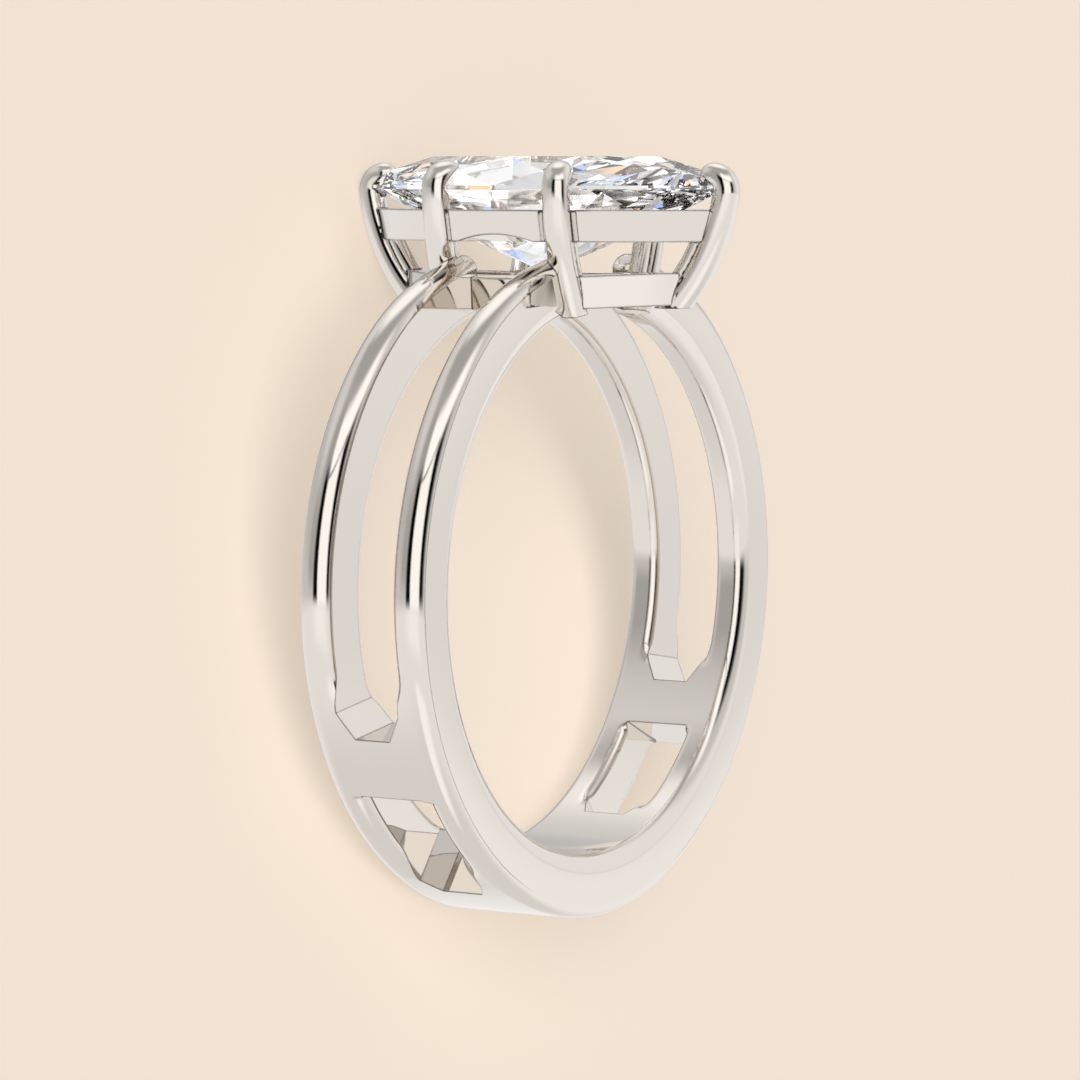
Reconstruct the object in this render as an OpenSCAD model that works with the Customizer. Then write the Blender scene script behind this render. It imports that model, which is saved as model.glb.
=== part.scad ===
// Split shank ring: a cast hoop of two parallel rails that carries a six claw basket
// with a marquise cut stone. It lies on its side, as such a ring rests by itself.
// The pieces are drawn upright: the hoop's axis is Y, the head is up, and the origin
// is the middle of the finger hole. rest_pose() then lays them down on the floor, with
// the origin under the middle of the ring. Angles round the hoop are degrees from its
// lowest point.

/* [Hoop] */
// Inside diameter, where the finger goes
finger_d = 17.3; // [15:0.1:20]
// Width of the band along the finger
band_w = 4.5; // [4:0.1:5.5]
// Thickness of the band
band_t = 2.0; // [1.7:0.1:2.5]
// Width of each rail
rail_w = 1.12; // [0.9:0.02:1.4]
// Rise of the rounded crown of a rail over its side faces
dome_rise = 0.4; // [0.25:0.05:0.5]
// Width of the flat line along the crown
crest_w = 0.1; // [0.06:0.02:0.2]
// Rounding along the edges that touch the finger
bore_round = 0.3; // [0.1:0.05:0.35]

/* [Side slots] */
// Angle of the slot floor at the finger hole
slot_floor_a = 63; // [60:0.5:66]
// How far the slot floor leans down from level, going outwards
slot_lean = 9.2; // [5:0.1:15]
// Width of the flat part of the slot floor
slot_flat_w = 1.24; // [0.9:0.02:1.6]
// Height of the two sloping corners over the slot floor
slot_corner_h = 0.85; // [0.5:0.05:1]

/* [Windows] */
// Angle of the window floor at the finger hole
window_floor_a = 24.2; // [22:0.2:28]
// Angle of the window top at the finger hole
window_top_a = 52.4; // [49:0.2:54]
// How far the window floor leans down from level, going outwards
window_lean = 52; // [48:1:60]
// How far the window top leans down from level, going outwards
window_top_lean = 25; // [22:1:31]
// Width of the flat part of the window floor
window_flat_w = 1.44; // [0.9:0.02:1.8]
// Height of the two sloping corners over the window floor
window_corner_h = 0.81; // [0.5:0.05:1]

/* [Stone] */
// Length of the stone
stone_l = 13.2; // [12.6:0.1:13.8]
// Width of the stone
stone_w = 6.4; // [6:0.1:6.8]
// Height of the crown, from girdle to table
crown_h = 0.91; // [0.7:0.01:1.1]
// Thickness of the girdle
girdle_t = 0.14; // [0.1:0.01:0.2]
// Depth of the pavilion, from girdle to point
pavilion_h = 2.61; // [2.3:0.01:2.8]
// Gap left all round between stone and metal
stone_gap = 0.03; // [0.02:0.01:0.05]

/* [Basket] */
// Height of the lower rail's underside over the finger hole
lower_rail_lift = 0.09; // [0.05:0.01:0.2]
// Height of the lower rail
lower_rail_h = 1.02; // [0.8:0.02:1.2]
// Wall of the lower rail
lower_rail_wall = 0.65; // [0.5:0.05:0.8]
// Radius of the bow that lets the lower rail follow the finger
lower_rail_bow_r = 20; // [15:1:40]
// Open height between the two rails
gallery_gap = 0.96; // [0.8:0.02:1.2]
// Height of the upper rail
upper_rail_h = 1.0; // [0.8:0.02:1.2]
// How much wider the upper rail is at its top than at its underside, on each side
upper_rail_flare = 0.2; // [0:0.02:0.3]
// Rise of the shallow arch under the upper rail, between the side claws
upper_arch_rise = 0.22; // [0.1:0.01:0.3]
// Height of the girdle over the upper rail
girdle_lift = 0.61; // [0.5:0.01:0.7]

/* [Claws] */
// Thickness of a claw
claw_d = 0.86; // [0.7:0.02:0.95]
// Distance between the two side claws on one side
claw_pitch = 4.46; // [4.2:0.02:4.7]
// How far the middle of a claw stands outside the girdle
claw_offset = 0.03; // [0:0.01:0.1]
// Radius of the long curve of an end claw
end_curve_r = 6.2; // [5.5:0.1:8]
// Height over the upper rail at which an end claw stands upright
end_upright_h = 1.47; // [1.2:0.01:1.8]
// Height over the upper rail at which an end claw turns over the stone
end_turn_h = 0.5; // [0.4:0.01:0.6]
// Radius of the long curve of a side claw
side_curve_r = 8.5; // [7.5:0.1:10]
// Height over the upper rail at which a side claw stands upright
side_upright_h = 0.87; // [0.7:0.01:1.1]
// Height over the upper rail at which a side claw turns over the stone
side_turn_h = 0.66; // [0.5:0.01:0.75]
// Bend radius of a claw where it turns over the stone
turn_r = 0.46; // [0.44:0.01:0.55]
// How far a claw turns over the stone
turn_a = 100; // [85:1:110]
// How far the side claws aim their tips towards the middle of the stone
side_aim = 20; // [0:1:35]
// Thickness of the stiffening rib behind each claw
rib_d = 0.6; // [0.4:0.02:0.7]
// Distance of the rib from the middle of its claw
rib_offset = 0.46; // [0.4:0.01:0.55]

/* [Hidden] */
$fn = 120;

// Half of the hoop and its radii
bore_r = finger_d / 2;
rim_r = bore_r + band_t;
half_band = band_w / 2;
slot_half = half_band - rail_w;
rail_mid = half_band - rail_w / 2;
dome_w = (rail_w - crest_w) / 2;
spring_r = rim_r - dome_rise;
reach = 2 * rim_r;
// Rounded edges: how far their cuts start outside, and how much flatter than a
// tangent arc they are, so that each ends in a clean line
edge_over = 0.15;
edge_flat = 1.15;

// Heights in the head, from the middle of the finger hole
lower_z = bore_r + lower_rail_lift;
upper_z = lower_z + lower_rail_h + gallery_gap;
upper_top_z = upper_z + upper_rail_h;
girdle_z = upper_top_z + girdle_lift;

// The stone: its outline is two arcs that meet at the ends
half_l = stone_l / 2;
half_w = stone_w / 2;
rim_pts = 16;
table_share = 0.64;
crown_break = 0.5;
pavilion_break = 0.3;
pocket_k = 1 + stone_gap * norm([half_w, pavilion_h]) / (half_w * pavilion_h);

// Claws
claw_r = claw_d / 2;
side_y = claw_pitch / 2;
knuckle_over = 0.004;

// Distance from the middle to the arc centre of an outline with these half sizes
function arc_back(len, wid) = (len * len - wid * wid) / (2 * wid);
// Half width of such an outline at distance y from its middle
function outline_x(len, wid, y) =
    sqrt(pow(arc_back(len, wid) + wid, 2) - y * y) - arc_back(len, wid);
// Half width of the outline of half length len that passes through [x, y]
function width_through(len, x, y) =
    let (k = (len * len - x * x - y * y) / (2 * x)) sqrt(k * k + len * len) - k;

// A claw's curve runs in the plane of its radius: centre [out, up] and middle line
end_z = upper_top_z + end_upright_h;
side_z = upper_top_z + side_upright_h;
end_turn_z = upper_top_z + end_turn_h;
side_turn_z = upper_top_z + side_turn_h;
function run(curve_r, up, z) = sqrt(curve_r * curve_r - pow(up - z, 2));
end_out = half_l + claw_offset - run(end_curve_r, end_z, girdle_z);
side_out = outline_x(half_l, half_w, side_y) + claw_offset
    - run(side_curve_r, side_z, girdle_z);
function end_at(z) = end_out + run(end_curve_r, end_z, z);
function side_at(z) = side_out + run(side_curve_r, side_z, z);

// Rails of the basket pass through the middle lines of the claws
lower_mid = lower_z + lower_rail_h / 2;
upper_mid = upper_z + upper_rail_h / 2;
lower_l = end_at(lower_mid);
lower_w = width_through(lower_l, side_at(lower_mid), side_y);
upper_l = end_at(upper_mid);
upper_w = width_through(upper_l, side_at(upper_mid), side_y);
seat_share = 1 - girdle_lift / pavilion_h;
seat_bite = 0.05;
arm_end_x = outline_x(lower_l, lower_w, rail_mid) - 0.2;

// Where the rails of the hoop start, clear of the sloping corners
slot_clear_a = 8.6;
window_clear_a = 6.9;
slot_start_a = slot_floor_a + slot_clear_a;
window_start_a = window_floor_a + window_clear_a;

// How the ring lies: lie_a is the angle between the hoop's side and the floor. The
// ring touches the floor with an end claw and with the lowest point of that side
contact_gap = [end_out - half_band, end_z + spring_r];
lie_a = asin((end_curve_r + claw_r) / norm(contact_gap))
    + atan2(contact_gap.x, contact_gap.y);
lie_z = half_band * cos(lie_a) + spring_r * sin(lie_a);

// How far the lying ring reaches along Y, from the middle of the finger hole
turn_reach = end_curve_r - turn_r;
end_turn_a = -asin((end_z - end_turn_z) / end_curve_r);
claw_reach = sin(lie_a) * (end_out + turn_reach * cos(end_turn_a))
    + cos(lie_a) * (end_z + turn_reach * sin(end_turn_a)) + turn_r + claw_r;
foot_reach = rim_r * cos(lie_a) + (half_band - dome_w) * sin(lie_a);

module rest_pose() {
    translate([0, (foot_reach - claw_reach) / 2, lie_z])
        rotate([lie_a - 90, 0, 0]) children();
}

// Sections of the hoop: x is the radius, y runs along the finger

// What is cut off to round the corner of a section at [radius, along the finger]:
// the arc runs run_r and run_y from the corner, and their signs point into the metal
module rounded_corner(at, run_r, run_y) {
    chord = norm([run_r, run_y]);
    arc_r = edge_flat * chord * chord / (2 * min(abs(run_r), abs(run_y)));
    inward = sign(run_r * run_y) * [run_y, run_r] / chord;
    over = at - edge_over * [sign(run_r), sign(run_y)];
    far = at + [run_r, run_y];
    difference() {
        polygon([over, [far.x, over.y], far, [over.x, far.y]]);
        translate(at + [run_r, run_y] / 2 + sqrt(arc_r * arc_r - chord * chord / 4) * inward)
            circle(arc_r);
    }
}

module band_section() {
    difference() {
        translate([bore_r, -half_band]) square([band_t, band_w]);
        for (side = [0, 1]) mirror([0, side]) {
            rounded_corner([rim_r, half_band], -dome_rise, -dome_w);
            rounded_corner([bore_r, half_band], bore_round, -bore_round);
        }
    }
}

// Turns a section round the hoop between two angles from its lowest point
module sweep(from_a, to_a) {
    rotate([90, 0, 0]) rotate([0, 0, from_a - 90])
        rotate_extrude(angle = to_a - from_a) children();
}

// What is cut off along the edges of an opening between two angles
module opening_edges(from_a, to_a) {
    for (side = [0, 1]) mirror([0, side, 0]) {
        sweep(from_a, to_a) rounded_corner([rim_r, slot_half], -dome_rise, dome_w);
        sweep(from_a, to_a) rounded_corner([bore_r, slot_half], bore_round, bore_round);
    }
}

// The cut of an opening with sloping corners: its floor meets the finger hole at
// floor_a and leans down by lean, going outwards, and inner is its length inwards
module sloped_cut(floor_a, lean, flat_w, corner_h, inner, tall) {
    translate([bore_r * sin(floor_a), 0, -bore_r * cos(floor_a)])
        rotate([0, lean, 0]) rotate([90, 0, 90])
            translate([0, 0, -inner]) linear_extrude(inner + 2 * band_t)
                polygon([
                    [-flat_w / 2, 0], [flat_w / 2, 0],
                    [slot_half, corner_h], [slot_half, tall],
                    [-slot_half, tall], [-slot_half, corner_h]
                ]);
}

// One slot, open upwards to beyond the head
module slot_cut() {
    sloped_cut(slot_floor_a, slot_lean, slot_flat_w, slot_corner_h, rim_r, reach);
}

module window_cut() {
    difference() {
        sloped_cut(window_floor_a, window_lean, window_flat_w, window_corner_h, band_t / 2,
            bore_r);
        translate([bore_r * sin(window_top_a), 0, -bore_r * cos(window_top_a)])
            rotate([0, window_top_lean, 0])
                translate([-reach / 2, -reach / 2, 0]) cube(reach);
    }
}

module hoop() {
    difference() {
        rotate([90, 0, 0]) rotate_extrude() band_section();
        for (side = [0, 1]) mirror([side, 0, 0]) {
            slot_cut();
            window_cut();
            opening_edges(window_start_a, window_top_a - 1);
        }
        opening_edges(slot_start_a, 360 - slot_start_a);
        translate([-arm_end_x, -half_band - 1, 0])
            cube([2 * arm_end_x, band_w + 2, reach]);
    }
}

// Area inside two arcs that meet at [0, len] and [0, -len]
module outline(len, wid, inset = 0) {
    back = arc_back(len, wid);
    intersection() {
        translate([-back, 0]) circle(back + wid - inset);
        translate([back, 0]) circle(back + wid - inset);
    }
}

module lower_rail() {
    intersection() {
        translate([0, 0, bore_r - band_t]) linear_extrude(reach)
            difference() {
                outline(lower_l, lower_w);
                outline(lower_l, lower_w, lower_rail_wall);
            }
        translate([0, 0, lower_z - lower_rail_bow_r]) rotate([90, 0, 0])
            difference() {
                cylinder(r = lower_rail_bow_r + lower_rail_h, h = reach, center = true);
                cylinder(r = lower_rail_bow_r, h = 2 * reach, center = true);
            }
    }
}

module upper_rail() {
    arch_half = side_y - claw_d;
    arch_r = (arch_half * arch_half + upper_arch_rise * upper_arch_rise)
        / (2 * upper_arch_rise);
    back = arc_back(upper_l, upper_w);
    difference() {
        translate([0, 0, upper_z]) intersection_for(side = [-1, 1])
            translate([side * back, 0, 0])
                cylinder(r1 = back + upper_w - upper_rail_flare / 2,
                    r2 = back + upper_w + upper_rail_flare / 2, h = upper_rail_h);
        translate([0, 0, upper_z - 1]) linear_extrude(upper_rail_h + 2)
            outline(seat_share * half_l - seat_bite, seat_share * half_w - seat_bite);
        translate([0, 0, upper_z + upper_arch_rise - arch_r]) rotate([0, 90, 0])
            cylinder(r = arch_r, h = reach, center = true);
    }
}

// A rod along an arc in the XZ plane: centre [out, up], angles from level
module arc_rod(out, up, curve_r, rod_r, from_a, to_a) {
    translate([out, 0, up]) rotate([90, 0, 0]) rotate([0, 0, from_a])
        rotate_extrude(angle = to_a - from_a) translate([curve_r, 0]) circle(rod_r);
}

module knuckle(out, up) {
    translate([out, 0, up]) sphere(claw_r + knuckle_over);
}

// One claw, leaning out along +X: long curve, turn over the stone, round tip and rib
module claw(out, up, curve_r, turn_z, aim = 0) {
    foot_a = -asin((up - bore_r + claw_r) / curve_r);
    top_a = -asin((up - turn_z) / curve_r);
    end_a = top_a + turn_a;
    rib_r = curve_r - rib_offset;
    turn_back = turn_r * cos(top_a);
    turn_up = turn_z - turn_r * sin(top_a);
    arc_rod(out, up, curve_r, claw_r, foot_a, top_a);
    translate([out + curve_r * cos(top_a), 0, 0]) rotate([0, 0, aim]) {
        knuckle(0, turn_z);
        arc_rod(-turn_back, turn_up, turn_r, claw_r, top_a, end_a);
        knuckle(turn_r * cos(end_a) - turn_back, turn_up + turn_r * sin(end_a));
    }
    arc_rod(out, up, rib_r, rib_d / 2,
        -asin((up - lower_mid) / rib_r), -asin((up - upper_mid) / rib_r));
}

module claws() {
    for (turn = [90, -90])
        rotate([0, 0, turn])
            claw(end_out, end_z, end_curve_r, end_turn_z);
    for (side = [0, 1], y = [-side_y, side_y])
        mirror([side, 0, 0]) translate([0, y, 0])
            claw(side_out, side_z, side_curve_r, side_turn_z, sign(y) * side_aim);
}

// The stone, as a brilliant: 16 points round the girdle, the even ones in line with
// the eight main facets, the odd ones between them
function rim(i) =
    let (
        back = arc_back(half_l, half_w),
        end_a = asin(half_l / (back + half_w)),
        side = i % rim_pts < rim_pts / 2 ? 1 : -1,
        part = (i % (rim_pts / 2)) / (rim_pts / 4),
        a = side * end_a * (1 - part)
    ) [side * ((back + half_w) * cos(a) - back), (back + half_w) * sin(a)];
// Direction of the girdle at such a point, level with it at the two ends
function rim_way(i) =
    let (a = rim(i - 1 + rim_pts), b = rim(i + 1)) (b - a) / norm(b - a);
function lift(p, z) = [p.x, p.y, z];
// Normal of the main facet from girdle point i, at height z, to the point p
function main_normal(i, z, p) =
    cross(lift(rim_way(i), 0), p - lift(rim(i), z));
// Point at height z where the main facets beside odd point i meet, when they rise
// from girdle height z0 to the points pa and pb
function meet(i, z0, pa, pb, z) =
    let (
        na = main_normal(i - 1, z0, pa), da = na * lift(rim(i - 1), z0) - na.z * z,
        nb = main_normal(i + 1, z0, pb), db = nb * lift(rim(i + 1), z0) - nb.z * z,
        det = na.x * nb.y - na.y * nb.x
    ) [(da * nb.y - db * na.y) / det, (na.x * db - nb.x * da) / det, z];

module stone_body() {
    low = girdle_z;
    high = girdle_z + girdle_t;
    top = high + crown_h;
    point = [0, 0, low - pavilion_h];
    mains = rim_pts / 2;
    table = [for (k = [0:mains - 1]) lift(table_share * rim(2 * k), top)];
    upper = [for (k = [0:mains - 1]) meet(2 * k + 1, high, table[k],
        table[(k + 1) % mains], high + crown_break * crown_h)];
    lower = [for (k = [0:mains - 1]) meet(2 * k + 1, low, point, point,
        point.z + pavilion_break * pavilion_h)];
    ring_high = [for (i = [0:rim_pts - 1]) lift(rim(i), high)];
    ring_low = [for (i = [0:rim_pts - 1]) lift(rim(i), low)];
    // Where each set of points starts in the whole list
    at_upper = mains;
    at_high = 2 * mains;
    at_low = at_high + rim_pts;
    at_lower = at_low + rim_pts;
    at_point = at_lower + mains;
    polyhedron(
        points = concat(table, upper, ring_high, ring_low, lower, [point]),
        faces = concat(
            [[for (k = [0:mains - 1]) k]],
            [for (k = [0:mains - 1]) [k, at_upper + k, (k + 1) % mains]],
            [for (k = [0:mains - 1]) [k, at_high + 2 * k, at_upper + k]],
            [for (k = [0:mains - 1])
                [k, at_upper + (k + mains - 1) % mains, at_high + 2 * k]],
            [for (k = [0:mains - 1])
                [at_upper + k, at_high + 2 * k, at_high + 2 * k + 1]],
            [for (k = [0:mains - 1])
                [at_upper + k, at_high + 2 * k + 1, at_high + (2 * k + 2) % rim_pts]],
            [for (i = [0:rim_pts - 1])
                [at_high + i, at_low + i, at_low + (i + 1) % rim_pts,
                    at_high + (i + 1) % rim_pts]],
            [for (k = [0:mains - 1])
                [at_lower + k, at_low + 2 * k + 1, at_low + 2 * k]],
            [for (k = [0:mains - 1])
                [at_lower + k, at_low + (2 * k + 2) % rim_pts, at_low + 2 * k + 1]],
            [for (k = [0:mains - 1]) [at_point, at_lower + k, at_low + 2 * k]],
            [for (k = [0:mains - 1])
                [at_point, at_low + 2 * k, at_lower + (k + mains - 1) % mains]]
        )
    );
}

// The space kept free for the stone
module stone_pocket() {
    translate([0, 0, girdle_z]) scale(pocket_k) translate([0, 0, -girdle_z])
        stone_body();
}

module ring_mounting() {
    color([0.88, 0.86, 0.83]) rest_pose() difference() {
        union() {
            hoop();
            lower_rail();
            upper_rail();
            claws();
        }
        stone_pocket();
        rotate([90, 0, 0]) cylinder(r = bore_r, h = reach, center = true);
    }
}

module marquise_stone() {
    color([0.93, 0.95, 0.98]) rest_pose() stone_body();
}

ring_mounting();
marquise_stone();
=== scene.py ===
"""Looks of a split shank ring with a marquise cut stone, lying on its side.

The ring is drawn upright in millimetres: the middle of the finger hole is the origin,
the hoop's axis is Y and the head is up. RestPose lays it down on the floor, in metres.
Angles round the hoop are in degrees from its lowest point.
"""

from __future__ import annotations

import logging
import math
from dataclasses import dataclass, field
from enum import Enum

import bmesh
import bpy
import numpy as np
from mathutils import Matrix, Vector

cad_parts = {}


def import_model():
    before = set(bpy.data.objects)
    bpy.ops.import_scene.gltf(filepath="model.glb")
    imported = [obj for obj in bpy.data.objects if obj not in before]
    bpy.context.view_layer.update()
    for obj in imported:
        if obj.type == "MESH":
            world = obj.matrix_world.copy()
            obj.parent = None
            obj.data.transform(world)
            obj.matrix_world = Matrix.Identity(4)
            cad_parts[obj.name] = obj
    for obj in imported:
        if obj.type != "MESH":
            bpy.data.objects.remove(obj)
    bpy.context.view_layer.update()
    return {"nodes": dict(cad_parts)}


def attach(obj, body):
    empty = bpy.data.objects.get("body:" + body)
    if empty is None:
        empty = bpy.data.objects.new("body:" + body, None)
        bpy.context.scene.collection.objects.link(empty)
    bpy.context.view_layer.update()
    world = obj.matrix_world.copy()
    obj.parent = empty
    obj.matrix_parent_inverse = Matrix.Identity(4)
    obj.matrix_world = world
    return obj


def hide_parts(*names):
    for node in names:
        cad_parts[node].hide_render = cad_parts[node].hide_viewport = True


LOG = logging.getLogger("split_shank_ring")
MM = 0.001
BODY = "root"
FRAME_PIXELS = 1080
SENSOR_MM = 36.0
# Points closer than this are one: in millimetres while drawing, in metres in the frame
MERGE_MM = 1e-6
MERGE_M = 1e-7
# A join or cut that changes the volume by less than this hasn't worked
LEAST_CHANGE = 1e-14
# Enough bounces for light to find its way out of the stone
BOUNCES = {"max_bounces": 18, "glossy_bounces": 12, "transmission_bounces": 16}

# The points of a rod's middle line, and how thick the rod is at each, as a share
Path = tuple[np.ndarray, np.ndarray]
# Which long side of the stone a claw stands on, 1 or -1, or 0 at an end; and which way along
Spot = tuple[int, int]


class Join(Enum):
    """How one closed mesh changes another."""

    ADD = "UNION"
    CUT = "DIFFERENCE"


class Bend(Enum):
    """How a face of a gallery rail rises and falls along the stone."""

    FLAT = "level"
    BOW_UNDER = "bow of the lower rail's underside"
    BOW_OVER = "bow of the lower rail's top"
    ARCH = "arch under the upper rail"


def linear(code: str) -> tuple[float, float, float, float]:
    """Turns a colour into what the shaders take.

    Args:
        code: An sRGB colour as six hex digits.

    Returns:
        Linear red, green, blue and full alpha.
    """
    parts = [int(code[i : i + 2], 16) / 255 for i in (0, 2, 4)]
    low = [p / 12.92 if p <= 0.04045 else ((p + 0.055) / 1.055) ** 2.4 for p in parts]
    return (low[0], low[1], low[2], 1.0)


def grey(strength: float) -> tuple[float, float, float, float]:
    """A neutral light of a given strength."""
    return (strength, strength, strength, 1.0)


def ramp(low: float, high: float, value: float) -> float:
    """Smooth step.

    Args:
        low: Where the step starts.
        high: Where it is done.
        value: Where it is read.

    Returns:
        A share from 0 to 1.
    """
    t = min(1.0, max(0.0, (value - low) / (high - low)))
    return t * t * (3 - 2 * t)


def add_node(tree: bpy.types.NodeTree, kind: str, at: dict | None = None,
             **settings: object) -> bpy.types.Node:
    """Adds a node with its settings and links.

    Args:
        tree: The tree that gets the node.
        kind: Blender's name of the node's type.
        at: For each input, by name or number, a value or the socket that feeds it.
        settings: Properties of the node itself.

    Returns:
        The new node.
    """
    node = tree.nodes.new(kind)
    for name, value in settings.items():
        setattr(node, name, value)
    for key, value in (at or {}).items():
        if isinstance(value, bpy.types.NodeSocket):
            tree.links.new(value, node.inputs[key])
        else:
            node.inputs[key].default_value = value
    return node


def empty_tree(owner: bpy.types.Material | bpy.types.World) -> bpy.types.NodeTree:
    """Gives a material or world an empty node tree.

    Args:
        owner: What gets the tree.

    Returns:
        The tree.
    """
    owner.use_nodes = True
    owner.node_tree.nodes.clear()
    return owner.node_tree


def place(name: str, data: bpy.types.ID) -> bpy.types.Object:
    """Puts an object into the scene.

    Args:
        name: Its name.
        data: Its mesh, curve, lamp or camera.

    Returns:
        The object.
    """
    thing = bpy.data.objects.new(name, data)
    bpy.context.scene.collection.objects.link(thing)
    return thing


@dataclass(frozen=True)
class RestPose:
    """How the ring lies: it leans on one end claw and on the side of its foot."""

    lean_deg: float = 12.0888
    slide_mm: float = -1.71053
    lift_mm: float = 4.34673

    def matrix(self) -> Matrix:
        """Turns upright millimetres into metres in the shared frame.

        Returns:
            The matrix.
        """
        turn = Matrix.Rotation(math.radians(self.lean_deg - 90), 4, "X")
        shift = Matrix.Translation(Vector((0, self.slide_mm, self.lift_mm)))
        return Matrix.Scale(MM, 4) @ shift @ turn


REST = RestPose()


def merge_outwards(mesh: bpy.types.Mesh) -> None:
    """Merges the doubled points of a closed shell and turns its faces outwards.

    Args:
        mesh: The mesh, which is changed.
    """
    shell = bmesh.new()
    shell.from_mesh(mesh)
    bmesh.ops.remove_doubles(shell, verts=shell.verts, dist=MERGE_MM)
    if shell.calc_volume(signed=True) < 0:
        bmesh.ops.reverse_faces(shell, faces=shell.faces)
    shell.to_mesh(mesh)
    shell.free()


def closed_mesh(name: str, points: np.ndarray, faces: list[list[int]]) -> bpy.types.Object:
    """Makes an object from a closed shell, with its faces outwards.

    Args:
        name: The object's name.
        points: One row of three coordinates for each point.
        faces: Point numbers of each face.

    Returns:
        The new object, in the scene.
    """
    mesh = bpy.data.meshes.new(name)
    mesh.from_pydata(np.asarray(points, float).tolist(), [], faces)
    merge_outwards(mesh)
    return place(name, mesh)


def tube_faces(rows: int, columns: int, around: bool) -> list[list[int]]:
    """Faces of a grid of points whose rows are closed loops.

    Args:
        rows: How many loops there are.
        columns: How many points a loop has.
        around: Whether the last loop joins the first; otherwise both ends are capped.

    Returns:
        Point numbers of each face.
    """
    last = rows if around else rows - 1
    faces = [
        [i * columns + j, ((i + 1) % rows) * columns + j,
         ((i + 1) % rows) * columns + (j + 1) % columns, i * columns + (j + 1) % columns]
        for i in range(last)
        for j in range(columns)
    ]
    if not around:
        faces.append(list(range(columns)))
        faces.append([(rows - 1) * columns + j for j in reversed(range(columns))])
    return faces


def evaluated(thing: bpy.types.Object) -> bpy.types.Mesh:
    """Makes a plain mesh of an object with its modifiers applied.

    Args:
        thing: The object, which stays as it is.

    Returns:
        The new mesh.
    """
    bpy.context.view_layer.update()
    seen = thing.evaluated_get(bpy.context.evaluated_depsgraph_get())
    return bpy.data.meshes.new_from_object(seen)


def as_mesh(thing: bpy.types.Object) -> bpy.types.Object:
    """Replaces an object with the plain mesh that its modifiers make of it.

    Args:
        thing: The object; it is removed.

    Returns:
        The new mesh object, of the same name.
    """
    mesh = evaluated(thing)
    name = thing.name
    bpy.data.objects.remove(thing)
    return place(name, mesh)


def shell_facts(mesh: bpy.types.Mesh) -> tuple[int, float]:
    """Measures a closed mesh.

    Args:
        mesh: The mesh.

    Returns:
        How many edges don't have exactly two faces, and the volume.
    """
    shell = bmesh.new()
    shell.from_mesh(mesh)
    loose = sum(1 for edge in shell.edges if len(edge.link_faces) != 2)
    size = shell.calc_volume(signed=True)
    shell.free()
    return loose, size


def combine(thing: bpy.types.Object, tool: bpy.types.Object, how: Join) -> bpy.types.Object:
    """Adds one closed mesh to another, or cuts it away.

    Args:
        thing: The mesh that changes.
        tool: The other mesh; it is removed.
        how: Whether the tool is added or cut away.

    Returns:
        The changed object.
    """
    before = shell_facts(thing.data)[1]
    for solver in ("MANIFOLD", "EXACT"):
        modifier = thing.modifiers.new("combine", "BOOLEAN")
        modifier.operation = how.value
        modifier.solver = solver
        modifier.object = tool
        mesh = evaluated(thing)
        thing.modifiers.remove(modifier)
        loose, size = shell_facts(mesh)
        if len(mesh.polygons) and loose == 0 and abs(size - before) > LEAST_CHANGE:
            break
        LOG.warning("%s: the %s way left %s open edges", thing.name, solver, loose)
    bpy.data.objects.remove(tool)
    thing.data = mesh
    return thing


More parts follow.
